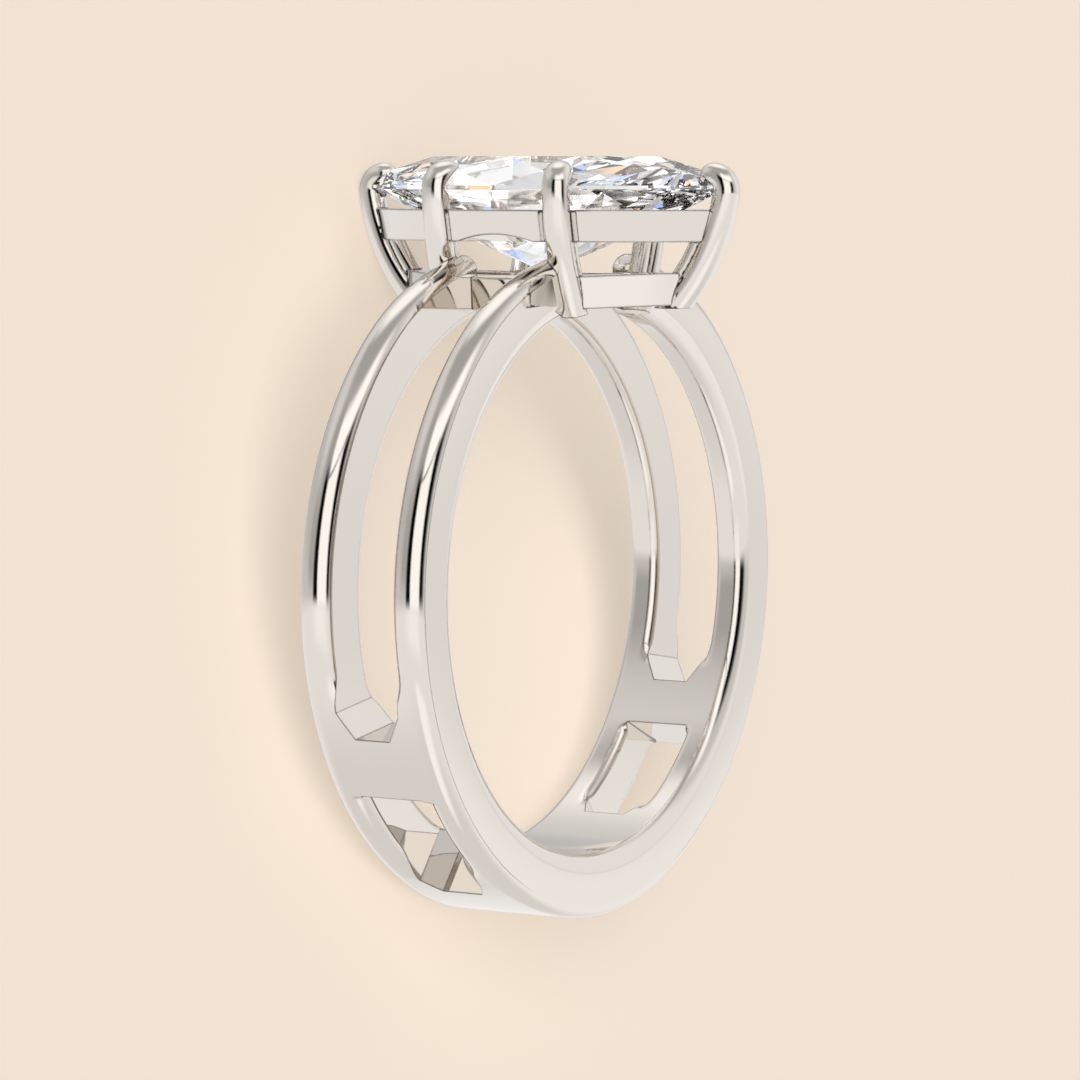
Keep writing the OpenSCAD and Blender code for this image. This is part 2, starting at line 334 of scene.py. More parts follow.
@dataclass(frozen=True)
class PolishedWhiteGold:
    """White gold, cast, filed and buffed on a wheel, with a bright rhodium plating.

    The eye gets a mirror with a slightly warm grey tone, edges that buffing has made
    soft, and a faint unevenness that only shows in the long reflections.
    """

    tone: str = "E8E2DA"
    roughness: float = 0.035
    # Roundings too small for the mesh, and the painted shade line in them, which stands in for the
    # shade and dark reflections in tight roundings: its tone, and how far the surface has to turn,
    # as a cosine, before the line starts and before it is full
    edge_mm: float = 0.07
    edge_samples: int = 4
    painted_shade_tone: str = "3A3532"
    painted_shade_turn: tuple[float, float] = (0.992, 0.95)
    wave_mm: float = 1.6
    wave_detail: float = 1.0
    wave_height_mm: float = 0.0006
    haze_mm: float = 0.35
    haze_detail: float = 3.0
    haze_limits: tuple[float, float] = (0.3, 0.7)
    haze: float = 0.02

    def material(self) -> bpy.types.Material:
        """Builds the node material.

        Returns:
            The material.
        """
        made = bpy.data.materials.new("white_gold_buffed_rhodium_plated")
        tree = empty_tree(made)
        where = add_node(tree, "ShaderNodeTexCoord").outputs["Object"]
        # Edges rounded by the buffing wheel, and joints by the solder
        soft = add_node(tree, "ShaderNodeBevel", {"Radius": self.edge_mm * MM},
                        samples=self.edge_samples)
        # Hardly seen waves that the wheel leaves on wide faces
        wave = add_node(tree, "ShaderNodeTexNoise", {
            "Vector": where, "Scale": 1 / (self.wave_mm * MM), "Detail": self.wave_detail})
        bump = add_node(tree, "ShaderNodeBump", {
            "Height": wave.outputs[0], "Distance": self.wave_height_mm * MM,
            "Strength": 1.0, "Normal": soft.outputs[0]})
        # Haze of the finest polishing marks
        haze = add_node(tree, "ShaderNodeTexNoise", {
            "Vector": where, "Scale": 1 / (self.haze_mm * MM), "Detail": self.haze_detail})
        least, most = self.haze_limits
        rough = add_node(tree, "ShaderNodeMapRange", {
            "Value": haze.outputs[0], "From Min": least, "From Max": most,
            "To Min": self.roughness, "To Max": self.roughness + self.haze})
        # Painted shade: a fine dark line in the smallest roundings, mixed into the colour, standing
        # in for the shade and dark reflections in them
        flat = add_node(tree, "ShaderNodeNewGeometry").outputs["True Normal"]
        turned = add_node(tree, "ShaderNodeVectorMath", {0: flat, 1: soft.outputs[0]},
                          operation="DOT_PRODUCT")
        start, full = self.painted_shade_turn
        line = add_node(tree, "ShaderNodeMapRange", {
            "Value": turned.outputs["Value"], "From Min": start, "From Max": full})
        colour = add_node(tree, "ShaderNodeMix", {
            0: line.outputs[0], 6: linear(self.tone), 7: linear(self.painted_shade_tone)},
            data_type="RGBA")
        skin = add_node(tree, "ShaderNodeBsdfPrincipled", {
            "Base Color": colour.outputs[2], "Metallic": 1.0,
            "Roughness": rough.outputs[0], "Normal": bump.outputs[0]})
        add_node(tree, "ShaderNodeOutputMaterial", {"Surface": skin.outputs[0]})
        return made


@dataclass(frozen=True)
class CutDiamond:
    """Diamond, cut and polished: clear, with flat mirror facets and strong bending of light."""

    ior: float = 2.417
    tone: str = "FFFFFF"

    def material(self) -> bpy.types.Material:
        """Builds the node material.

        Returns:
            The material.
        """
        made = bpy.data.materials.new("diamond_facet_cut")
        tree = empty_tree(made)
        skin = add_node(tree, "ShaderNodeBsdfPrincipled", {
            "Base Color": linear(self.tone), "Metallic": 0.0, "Roughness": 0.0,
            "IOR": self.ior, "Transmission Weight": 1.0})
        add_node(tree, "ShaderNodeOutputMaterial", {"Surface": skin.outputs[0]})
        return made


@dataclass(frozen=True)
class PaleFloor:
    """Smooth opal board in a warm cream, lit faintly from below, which thins the shadow on it."""

    tone: str = "F0E1D0"
    roughness: float = 0.8
    gloss: float = 0.2
    glow: float = 0.47

    def material(self) -> bpy.types.Material:
        """Builds the node material.

        Returns:
            The material.
        """
        made = bpy.data.materials.new("cream_opal_board_matt")
        tree = empty_tree(made)
        board = add_node(tree, "ShaderNodeBsdfPrincipled", {
            "Base Color": linear(self.tone), "Roughness": self.roughness,
            "Specular IOR Level": self.gloss, "Emission Color": linear(self.tone),
            "Emission Strength": self.glow})
        add_node(tree, "ShaderNodeOutputMaterial", {"Surface": board.outputs[0]})
        return made


@dataclass(frozen=True)
class Opening:
    """A slot or window, as the bar that cuts it.

    Its floor starts at the finger hole's wall at an angle from the foot, leans down
    outwards, and has a flat part between two sloping corners.
    """

    angle: float
    lean: float
    flat: float
    corner: float
    inwards: float
    tall: float


@dataclass
class Hoop:
    """The band: solid round the foot, parted into two domed rails on each side."""

    bore_r: float = 8.65
    rim_r: float = 10.65
    half_band: float = 2.25
    slot_half: float = 1.13
    dome_r: float = 0.592
    dome_mid: float = 1.69
    foot_round: float = 0.38
    bore_round: float = 0.3
    # The hole's edge: how softly the side face starts to turn in, and for how far
    bore_ease: float = 0.8
    bore_bend_deg: float = 40.0
    # How far the openings' inner edge turns, and how far crowns run on past their walls
    inner_turn_deg: float = 84.0
    past_wall: float = 0.03
    # Steps of the domes, of the hole's edge and of the openings' inner edge
    dome_steps: int = 14
    hole_steps: int = 18
    inner_steps: int = 8
    # Sections stand at an even step, but at the marks where the shape changes fast
    step_deg: float = 0.75
    marks: tuple[float, ...] = (
        26.5, 31.0, 31.5, 32.0, 50.3, 50.8, 51.3, 51.8, 52.2, 53.95, 54.1, 54.25, 54.4, 54.55,
        66.5, 70.9, 71.3)
    mark_room: float = 0.16
    # Windows lie below this angle, slots above it
    parting_deg: float = 60.0
    # Where the crown of each rail starts and ends
    slot_fade: tuple[float, float] = (70.9, 78.0)
    window_fade: tuple[float, float] = (31.0, 40.0)
    window_end: tuple[float, float] = (53.95, 54.55)
    bore_slot_fade: tuple[float, float] = (66.5, 73.0)
    bore_window: tuple[float, float, float, float] = (26.5, 33.0, 50.3, 52.2)
    foot_fade: tuple[float, float] = (12.0, 34.0)
    # How far the outside drops where the arms come up to the head
    head_drop: float = 0.125
    head_fade: tuple[float, float] = (141.0, 164.0)
    slot: Opening = Opening(63.0, 9.2, 1.24, 0.85, inwards=10.6, tall=21.0)
    window: Opening = Opening(24.2, 52.0, 1.44, 0.81, inwards=1.0, tall=8.65)
    # Angle and lean of the windows' top, and the half width, height and half depth of
    # the block that keeps the metal over it
    window_top: tuple[float, float] = (52.4, 25.0)
    window_block: tuple[float, float, float] = (9.0, 12.0, 11.0)
    cut_reach: float = 4.0
    # The gap in the head: where the arms end, and the block that cuts it
    arm_end_x: float = 2.217
    gap_half_y: float = 4.0
    gap_z: tuple[float, float] = (0.5, 13.0)

    def crown_share(self, angle: float) -> float:
        """How much of the rails' inner crown there is.

        Args:
            angle: Degrees from the foot.

        Returns:
            A share from 0 to 1.
        """
        if angle < self.parting_deg:
            return ramp(*self.window_fade, angle) * (1 - ramp(*self.window_end, angle))
        return ramp(*self.slot_fade, angle)

    def inner_share(self, angle: float) -> float:
        """How much of the openings' inner rounding there is.

        Args:
            angle: Degrees from the foot.

        Returns:
            A share from 0 to 1.
        """
        if angle < self.parting_deg:
            low, full, down, end = self.bore_window
            return ramp(low, full, angle) * (1 - ramp(down, end, angle))
        return ramp(*self.bore_slot_fade, angle)

    def outside(self, angle: float) -> list[tuple[float, float]]:
        """Half a section's outer line, from the middle over the crown to the side face.

        Args:
            angle: Degrees from the foot, 0 to 180.

        Returns:
            Points as [radius, along the finger].
        """
        crown = self.crown_share(angle)
        dome = ramp(*self.foot_fade, angle)
        rim = self.rim_r - self.head_drop * ramp(*self.head_fade, angle)
        steep = math.asin((self.dome_mid - self.slot_half + self.past_wall) / self.dome_r)
        line = []
        for k in range(self.dome_steps + 1):
            b = steep * (1 - k / self.dome_steps)
            line.append((rim - crown * self.dome_r * (1 - math.cos(b)),
                         self.dome_mid - self.dome_r * math.sin(b)))
        side = math.asin((self.half_band - self.dome_mid) / self.dome_r)
        start = self.half_band - self.foot_round
        for k in range(1, self.dome_steps + 1):
            b = side * k / self.dome_steps
            domed = (rim - self.dome_r * (1 - math.cos(b)),
                     self.dome_mid + self.dome_r * math.sin(b))
            turn = math.pi / 2 * k / self.dome_steps
            plain = (rim - self.foot_round * (1 - math.cos(turn)),
                     start + self.foot_round * math.sin(turn))
            line.append((dome * domed[0] + (1 - dome) * plain[0],
                         dome * domed[1] + (1 - dome) * plain[1]))
        return line

    def inside(self, angle: float) -> list[tuple[float, float]]:
        """Half a section's inner line, from the side face over the hole's wall to the opening.

        Args:
            angle: Degrees from the foot, 0 to 180.

        Returns:
            Points as [radius, along the finger].
        """
        inner = self.inner_share(angle)
        bend = math.radians(self.bore_bend_deg)
        line = []
        for k in range(self.hole_steps + 1):
            b = math.pi / 2 * k / self.hole_steps
            wide, tight = min(b, bend), max(b, bend)
            line.append((self.bore_r + self.bore_round * (1 - math.sin(tight))
                         + self.bore_ease * (math.sin(bend) - math.sin(wide)),
                         self.half_band - self.bore_ease * (1 - math.cos(wide))
                         - self.bore_round * (math.cos(bend) - math.cos(tight))))
        for k in range(self.inner_steps + 1):
            b = math.radians(self.inner_turn_deg) * k / self.inner_steps
            line.append((self.bore_r + inner * self.bore_round * (1 - math.cos(b)),
                         self.slot_half + self.bore_round * (1 - math.sin(b))))
        line.append((self.bore_r + inner * self.bore_round, self.slot_half - self.past_wall))
        return line

    def section(self, angle: float) -> np.ndarray:
        """One section of the band.

        Args:
            angle: Degrees from the foot, 0 to 180.

        Returns:
            A closed loop of [radius, along the finger].
        """
        half = self.outside(angle)
        half.append(((half[-1][0] + self.bore_r + self.bore_round) / 2, self.half_band))
        half += self.inside(angle)
        return np.array(half + [(r, -y) for r, y in reversed(half)])

    def angles(self) -> list[float]:
        """Angles of the sections, closer together where the shape changes fast.

        Returns:
            Degrees from the foot, once round.
        """
        even = [self.step_deg * k for k in range(round(180 / self.step_deg) + 1)]
        kept = [a for a in even if all(abs(a - m) > self.mark_room for m in self.marks)]
        half = sorted(set(kept) | set(self.marks))
        return half + [360 - a for a in reversed(half[1:-1])]

    def band(self) -> bpy.types.Object:
        """Builds the uncut band.

        Returns:
            The band.
        """
        turns = self.angles()
        rows = []
        for turn in turns:
            loop = self.section(min(turn, 360 - turn))
            a = math.radians(turn)
            rows.append(np.column_stack([loop[:, 0] * math.sin(a), loop[:, 1],
                                         -loop[:, 0] * math.cos(a)]))
        return closed_mesh("hoop", np.concatenate(rows), tube_faces(len(turns), len(rows[0]), True))

    def slab(self, side: int, angle: float, lean: float, shape: list[tuple[float, float]],
             start: float, end: float) -> bpy.types.Object:
        """Builds a bar that passes the finger hole's wall and leans down outwards.

        Args:
            side: 1 or -1, for the side of the ring.
            angle: Where it meets the wall of the finger hole.
            lean: How far it leans down, in degrees.
            shape: Its section, as [along the finger, up].
            start: Where it starts, outwards from the wall.
            end: Where it ends.

        Returns:
            The bar.
        """
        a, b = math.radians(angle), math.radians(lean)
        points = []
        for out in (start, end):
            for across, up in shape:
                x = self.bore_r * math.sin(a) + out * math.cos(b) + up * math.sin(b)
                z = -self.bore_r * math.cos(a) - out * math.sin(b) + up * math.cos(b)
                points.append((side * x, across, z))
        return closed_mesh("opening", np.array(points), tube_faces(2, len(shape), False))

    def opening(self, side: int, cut: Opening) -> bpy.types.Object:
        """Builds the bar that cuts an opening with two sloping corners.

        Args:
            side: 1 or -1, for the side of the ring.
            cut: The slot or window.

        Returns:
            The cutter.
        """
        half, wide = cut.flat / 2, self.slot_half
        shape = [(-half, 0), (half, 0), (wide, cut.corner), (wide, cut.tall),
                 (-wide, cut.tall), (-wide, cut.corner)]
        return self.slab(side, cut.angle, cut.lean, shape, -cut.inwards, self.cut_reach)

    def window_cutter(self, side: int) -> bpy.types.Object:
        """Builds the cutter of a window: an opening with a top.

        Args:
            side: 1 or -1, for the side of the ring.

        Returns:
            The cutter.
        """
        wide, tall, deep = self.window_block
        shape = [(-wide, 0), (wide, 0), (wide, tall), (-wide, tall)]
        block = self.slab(side, *self.window_top, shape, -deep, deep)
        return combine(self.opening(side, self.window), block, Join.CUT)

    def build(self) -> bpy.types.Object:
        """Builds the hoop with its slots and windows, open at the head.

        Returns:
            The hoop.
        """
        hoop = self.band()
        for side in (1, -1):
            combine(hoop, self.opening(side, self.slot), Join.CUT)
            combine(hoop, self.window_cutter(side), Join.CUT)
        x, y = self.arm_end_x, self.gap_half_y
        corners = [(-x, -y), (x, -y), (x, y), (-x, y)]
        points = [(*corner, z) for z in self.gap_z for corner in corners]
        gap = closed_mesh("head_gap", np.array(points), tube_faces(2, len(corners), False))
        return combine(hoop, gap, Join.CUT)


@dataclass(frozen=True)
class Outline:
    """Marquise outline: two arcs that meet at the ends."""

    length: float
    width: float

    @property
    def back(self) -> float:
        """Distance from the middle to the centre of either arc."""
        return (self.length**2 - self.width**2) / (2 * self.width)

    def inset(self, wall: float) -> Outline:
        """The outline that runs inside this one at an even distance."""
        radius = self.back + self.width - wall
        return Outline(math.sqrt(radius**2 - self.back**2), self.width - wall)

    def points(self, steps: int) -> np.ndarray:
        """Points round the outline.

        Args:
            steps: Points on each of the two arcs.

        Returns:
            A closed loop of [x, y].
        """
        radius = self.back + self.width
        reach = math.asin(self.length / radius)
        loop = []
        for side in (1, -1):
            for k in range(steps):
                a = side * reach * (1 - 2 * k / steps)
                loop.append((side * (radius * math.cos(a) - self.back), radius * math.sin(a)))
        return np.array(loop)


# One level of a rail: its outline, its height, and how that height bends along the stone
Level = tuple[Outline, float, Bend]


@dataclass(frozen=True)
class ClawShape:
    """Middle line and section of one kind of claw."""

    out: float
    up: float
    curve_r: float
    turn_z: float
    foot_z: float
    half_width: float
    half_depth: float
    aim_deg: float = 0.0
    turn_r: float = 0.46
    turn_deg: float = 100.0
    # Points of the stem and of the turn over the stone, steps of the round end, and the
    # share of its thickness that the end keeps
    stem_points: int = 40
    turn_points: int = 25
    tip_steps: int = 12
    tip_share: float = 0.02

    def path(self, aim_sign: int) -> Path:
        """Points of the middle line.

        Args:
            aim_sign: Which way the tip turns towards the middle of the stone.

        Returns:
            Points as [out, aside, up], and how thick the claw is at each, as a share.
        """
        foot = -math.asin((self.up - self.foot_z) / self.curve_r)
        top = -math.asin((self.up - self.turn_z) / self.curve_r)
        points = [(self.out + self.curve_r * math.cos(a), 0.0, self.up + self.curve_r * math.sin(a))
                  for a in np.linspace(foot, top, self.stem_points)]
        start = self.out + self.curve_r * math.cos(top)
        back = self.turn_r * math.cos(top)
        lift = self.turn_z - self.turn_r * math.sin(top)
        aim = math.radians(self.aim_deg) * aim_sign
        end = top + math.radians(self.turn_deg)

        def bent(out: float, up: float) -> tuple[float, float, float]:
            """Turns a point of the tip about the claw's upright line."""
            return (start + (out - start) * math.cos(aim), (out - start) * math.sin(aim), up)

        for a in np.linspace(top, end, self.turn_points)[1:]:
            points.append(bent(start - back + self.turn_r * math.cos(a),
                               lift + self.turn_r * math.sin(a)))
        thick = [1.0] * len(points)
        tip_out = start - back + self.turn_r * math.cos(end)
        tip_up = lift + self.turn_r * math.sin(end)
        # Round end: the section shrinks as on a ball
        for k in range(1, self.tip_steps + 1):
            b = math.pi / 2 * k / self.tip_steps
            run = self.half_depth * math.sin(b)
            points.append(bent(tip_out - math.sin(end) * run, tip_up + math.cos(end) * run))
            thick.append(max(self.tip_share, math.cos(b)))
        return np.array(points), np.array(thick)


def rod_tree() -> bpy.types.NodeTree:
    """Builds the tree that sweeps an oval section along every path of a curve.

    Returns:
        The tree, with inputs for the section's size, its points and the finish.
    """
    tree = bpy.data.node_groups.new("swept_rod", "GeometryNodeTree")
    face = tree.interface
    for name, kind in (("Path", "Geometry"), ("Half width", "Float"), ("Half depth", "Float"),
                       ("Points round", "Int"), ("Finish", "Material")):
        face.new_socket(name, in_out="INPUT", socket_type="NodeSocket" + kind)
    face.new_socket("Rod", in_out="OUTPUT", socket_type="NodeSocketGeometry")
    given = add_node(tree, "NodeGroupInput").outputs
    ring = add_node(tree, "GeometryNodeCurvePrimitiveCircle", {
        "Resolution": given["Points round"], "Radius": 1.0})
    size = add_node(tree, "ShaderNodeCombineXYZ", {
        "X": given["Half width"], "Y": given["Half depth"], "Z": 1.0})
    oval = add_node(tree, "GeometryNodeTransform", {
        "Geometry": ring.outputs["Curve"], "Scale": size.outputs[0]})
    thick = add_node(tree, "GeometryNodeInputRadius")
    rod = add_node(tree, "GeometryNodeCurveToMesh", {
        "Curve": given["Path"], "Profile Curve": oval.outputs[0],
        "Scale": thick.outputs[0], "Fill Caps": True})
    whole = add_node(tree, "GeometryNodeRealizeInstances", {"Geometry": rod.outputs[0]})
    dressed = add_node(tree, "GeometryNodeSetMaterial", {
        "Geometry": whole.outputs[0], "Material": given["Finish"]})
    add_node(tree, "NodeGroupOutput", {0: dressed.outputs[0]})
    return tree


def swept(name: str, paths: list[Path], half_width: float, half_depth: float,
          tree: bpy.types.NodeTree, finish: bpy.types.Material, points_round: int
          ) -> bpy.types.Object:
    """Sweeps an oval rod along each path.

    Args:
        name: The object's name.
        paths: For each rod its points and how thick it is at each, as a share.
        half_width: Half of the section, level with the floor of the basket.
        half_depth: Half of the section, inwards.
        tree: What rod_tree() built.
        finish: The material.
        points_round: Points round the section.

    Returns:
        A plain closed mesh.
    """
    line = bpy.data.curves.new(name, "CURVE")
    line.dimensions = "3D"
    for points, thick in paths:
        spline = line.splines.new("POLY")
        spline.points.add(len(points) - 1)
        for k, (point, share) in enumerate(zip(points, thick)):
            spline.points[k].co = (*point, 1.0)
            spline.points[k].radius = share
    thing = place(name, line)
    modifier = thing.modifiers.new("swept_rod", "NODES")
    modifier.node_group = tree
    values = {"Half width": half_width, "Half depth": half_depth,
              "Points round": points_round, "Finish": finish}
    for socket in tree.interface.items_tree:
        if socket.in_out == "INPUT" and socket.name in values:
            modifier[socket.identifier] = values[socket.name]
    made = as_mesh(thing)
    merge_outwards(made.data)
    return made


@dataclass
class Basket:
    """Two gallery rails and six claws that hold the stone."""

    stone: Outline = Outline(6.6, 3.2)
    lower: Outline = Outline(5.27704, 2.63736)
    upper: Outline = Outline(6.36863, 3.13742)
    lower_z: float = 8.74
    lower_h: float = 1.02
    lower_wall: float = 0.65
    lower_lean: float = 0.07
    bow_r: float = 20.0
    upper_z: float = 10.72
    upper_h: float = 1.0
    flare: float = 0.2
    arch_rise: float = 0.22
    arch_half: float = 1.37
    seat_share: float = 0.7163
    seat_bite: float = 0.05
    # Softened edges of the rails, the steps of the outer and inner ones, and the points
    # on each arc of an outline
    edge: float = 0.04
    outer_steps: int = 4
    inner_steps: int = 3
    arc_points: int = 72
    side_y: float = 2.23
    side_claw: ClawShape = ClawShape(-5.5672, 12.59, 8.5, 12.38, 8.3, 0.45, 0.4, aim_deg=20.0)
    end_claw: ClawShape = ClawShape(0.489935, 13.19, 6.2, 12.22, 8.3, 0.42, 0.43)
    claw_sides: int = 40
    rib_r: float = 0.3
    rib_offset: float = 0.46
    rib_points: int = 16
    rib_sides: int = 24
    # Solder beads beside the claws: how far aside and short of the rail's edges they lie
    seam_r: float = 0.1
    seam_off: float = 0.05
    seam_short: float = 0.04
    seam_points: int = 8
    seam_sides: int = 16
    # The finger hole, to which the claws' feet are cut
    bore_r: float = 8.655
    bore_half: float = 12.0
    bore_sides: int = 480

    def bend(self, kind: Bend, x: float, y: float) -> float:
        """How far a rail's face rises or falls at a point.

        Args:
            kind: How the face bends.
            x: Across the stone.
            y: Along the stone.

        Returns:
            The rise.
        """
        if kind in (Bend.BOW_UNDER, Bend.BOW_OVER):
            radius = self.bow_r + (self.lower_h if kind is Bend.BOW_OVER else 0.0)
            return math.sqrt(radius**2 - x**2) - radius
        if kind is Bend.ARCH and abs(y) < self.arch_half:
            radius = (self.arch_half**2 + self.arch_rise**2) / (2 * self.arch_rise)
            return math.sqrt(radius**2 - y**2) - radius + self.arch_rise
        return 0.0

    def loft(self, name: str, levels: list[Level]) -> bpy.types.Object:
        """Builds a rail from outlines that follow its section round.

        Args:
            name: The object's name.
            levels: Outline, height and bend of each level.

        Returns:
            The rail.
        """
        rows = []
        for outline, z, kind in levels:
            flat = outline.points(self.arc_points)
            rise = np.array([self.bend(kind, x, y) for x, y in flat])
            rows.append(np.column_stack([flat, z + rise]))
        return closed_mesh(name, np.concatenate(rows), tube_faces(len(rows), len(rows[0]), True))

    def rounded(self, outer: Outline, inner: Outline, heights: tuple[float, float],
                bends: tuple[Bend, Bend, Bend], flare: float) -> list[Level]:
        """Levels of a rail with softened edges.

        Args:
            outer: Outline of its outside at mid height.
            inner: Outline of its inside.
            heights: Heights of its underside and its top.
            bends: How the underside, the top and the underside's inner edge bend.
            flare: How much wider the outside is at the top.

        Returns:
            Outline, height and bend for each level.
        """
        low, high = heights
        under, over, under_inner = bends
        levels: list[Level] = []

        def out(z: float, back: float) -> Outline:
            """Outline of the outside at a height, drawn in by back."""
            return outer.inset(back - ((z - low) / (high - low) - 0.5) * flare)

        for k in reversed(range(self.outer_steps + 1)):
            a = math.pi / 2 * k / self.outer_steps
            z = low + self.edge * (1 - math.sin(a))
            levels.append((out(z, self.edge * (1 - math.cos(a))), z, under))
        for k in range(self.outer_steps + 1):
            a = math.pi / 2 * k / self.outer_steps
            z = high - self.edge * (1 - math.sin(a))
            levels.append((out(z, self.edge * (1 - math.cos(a))), z, over))
        for k in range(self.inner_steps + 1):
            a = math.pi / 2 * k / self.inner_steps
            levels.append((inner.inset(-self.edge * (1 - math.sin(a))),
                           high - self.edge * (1 - math.cos(a)), over))
        for k in range(self.inner_steps + 1):
            a = math.pi / 2 * k / self.inner_steps
            levels.append((inner.inset(-self.edge * (1 - math.cos(a))),
                           low + self.edge * (1 - math.sin(a)), under_inner))
        return levels

    def rails(self) -> bpy.types.Object:
        """Builds the lower and the upper rail.

        Returns:
            Both rails, as one object.
        """
        lower = self.loft("lower_rail", self.rounded(
            self.lower, self.lower.inset(self.lower_wall),
            (self.lower_z, self.lower_z + self.lower_h),
            (Bend.BOW_UNDER, Bend.BOW_OVER, Bend.BOW_UNDER), self.lower_lean))
        seat = Outline(self.seat_share * self.stone.length - self.seat_bite,
                       self.seat_share * self.stone.width - self.seat_bite)
        upper = self.loft("upper_rail", self.rounded(
            self.upper, seat, (self.upper_z, self.upper_z + self.upper_h),
            (Bend.ARCH, Bend.FLAT, Bend.FLAT), self.flare))
        return combine(lower, upper, Join.ADD)

    def placed(self, line: np.ndarray, spot: Spot) -> np.ndarray:
        """Moves a claw's line to its place round the stone.

        Args:
            line: Points as [out, aside, up].
            spot: Where the claw stands.

        Returns:
            Points as [x, y, z].
        """
        side, along = spot
        out, aside, up = line.T
        if side == 0:
            return np.column_stack([0 * out, along * out, up])
        return np.column_stack([side * out, along * self.side_y + aside, up])

    def claws(self, shape: ClawShape, spots: list[Spot]) -> list[Path]:
        """Middle lines of the claws of one kind.

        Args:
            shape: The kind.
            spots: Where they stand.

        Returns:
            Points and thickness of each claw.
        """
        paths = []
        for spot in spots:
            line, thick = shape.path(spot[1])
            paths.append((self.placed(line, spot), thick))
        return paths

    def ribs(self, shape: ClawShape, spots: list[Spot]) -> list[Path]:
        """Middle lines of the thin ribs behind the claws.

        Args:
            shape: The kind of claw.
            spots: Where the claws stand.

        Returns:
            Points and thickness of each rib.
        """
        radius = shape.curve_r - self.rib_offset
        up = np.linspace(self.lower_z + self.lower_h / 2, self.upper_z + self.upper_h / 2,
                         self.rib_points)
        out = shape.out + np.sqrt(radius**2 - (shape.up - up) ** 2)
        line = np.column_stack([out, 0 * out, up])
        return [(self.placed(line, spot), np.ones(len(line))) for spot in spots]

    def seam(self, side: int, y: float) -> Path:
        """Middle line of one solder bead on the outside of the upper rail.

        Args:
            side: Which long side it is on.
            y: Where it is along the stone.

        Returns:
            Its points and thickness.
        """
        line = []
        for z in np.linspace(self.upper_z + self.seam_short,
                             self.upper_z + self.upper_h - self.seam_short, self.seam_points):
            share = (z - self.upper_z) / self.upper_h - 0.5
            wall = self.upper.inset(-share * self.flare)
            reach = math.sqrt((wall.back + wall.width) ** 2 - y**2) - wall.back
            line.append((side * (reach - self.seam_r / 2), y, z))
        return np.array(line), np.ones(len(line))

    def seams(self) -> list[Path]:
        """Middle lines of the solder beads on both sides of each side claw.

        Returns:
            Points and thickness of each bead.
        """
        off = self.side_claw.half_width + self.seam_off
        return [self.seam(side, along * self.side_y + aside * off)
                for side in (1, -1) for along in (1, -1) for aside in (1, -1)]

    def build(self, finish: bpy.types.Material) -> bpy.types.Object:
        """Builds the basket, cut clear of the finger hole.

        Args:
            finish: The metal.

        Returns:
            The basket as one closed mesh.
        """
        tree = rod_tree()
        basket = self.rails()
        sides = [(side, along) for side in (1, -1) for along in (1, -1)]
        for name, shape, spots in (("side_claws", self.side_claw, sides),
                                   ("end_claws", self.end_claw, [(0, 1), (0, -1)])):
            claws = swept(name, self.claws(shape, spots), shape.half_width, shape.half_depth,
                          tree, finish, self.claw_sides)
            combine(basket, claws, Join.ADD)
            ribs = swept(name + "_ribs", self.ribs(shape, spots), self.rib_r, self.rib_r,
                         tree, finish, self.rib_sides)
            combine(basket, ribs, Join.ADD)
        seams = swept("seams", self.seams(), self.seam_r, self.seam_r, tree, finish,
                      self.seam_sides)
        combine(basket, seams, Join.ADD)
        turns = np.linspace(0, 2 * math.pi, self.bore_sides + 1)[:-1]
        points = [(self.bore_r * math.cos(a), y, self.bore_r * math.sin(a))
                  for y in (-self.bore_half, self.bore_half) for a in turns]
        bore = closed_mesh("bore", np.array(points), tube_faces(2, self.bore_sides, False))
        return combine(basket, bore, Join.CUT)


@dataclass
class Mounting:
    """The whole of the metal: hoop and basket, soldered and polished as one."""

    hoop: Hoop = field(default_factory=Hoop)
    basket: Basket = field(default_factory=Basket)
    finish: PolishedWhiteGold = PolishedWhiteGold()
    crease_deg: float = 24.0
    # How much larger the space kept for the stone is, from the middle of its girdle
    pocket: float = 1.01483
    girdle_z: float = 12.33

    def stone_pocket(self, stone: bpy.types.Object) -> bpy.types.Object:
        """Builds the space kept free for the stone, from the stone itself.

        Args:
            stone: The stone, which stays as it is.

        Returns:
            The space, as a closed mesh.
        """
        shell = bmesh.new()
        shell.from_mesh(stone.data)
        bmesh.ops.remove_doubles(shell, verts=shell.verts, dist=MERGE_M)
        shell.transform(REST.matrix().inverted())
        about = Matrix.Translation((0, 0, self.girdle_z))
        shell.transform(about @ Matrix.Scale(self.pocket, 4) @ about.inverted())
        mesh = bpy.data.meshes.new("stone_pocket")
        shell.to_mesh(mesh)
        shell.free()
        return place("stone_pocket", mesh)

    def build(self, stone: bpy.types.Object) -> bpy.types.Object:
        """Builds and dresses the metal.

        Args:
            stone: The stone that it holds.

        Returns:
            The finished piece.
        """
        metal = self.finish.material()
        piece = self.hoop.build()
        combine(piece, self.basket.build(metal), Join.ADD)
        combine(piece, self.stone_pocket(stone), Join.CUT)
        piece.name = "white_gold_mounting"
        piece.data.materials.clear()
        piece.data.materials.append(metal)
        piece.data.shade_smooth()
        piece.data.set_sharp_from_angle(angle=math.radians(self.crease_deg))
        # Flat faces shade flat up to their rounded edges
        even = piece.modifiers.new("even_normals", "WEIGHTED_NORMAL")
        even.keep_sharp = True
        piece = as_mesh(piece)
        piece.data.name = piece.name
        piece.data.transform(REST.matrix())
        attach(piece, BODY)
        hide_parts("ring_mounting")
        return piece


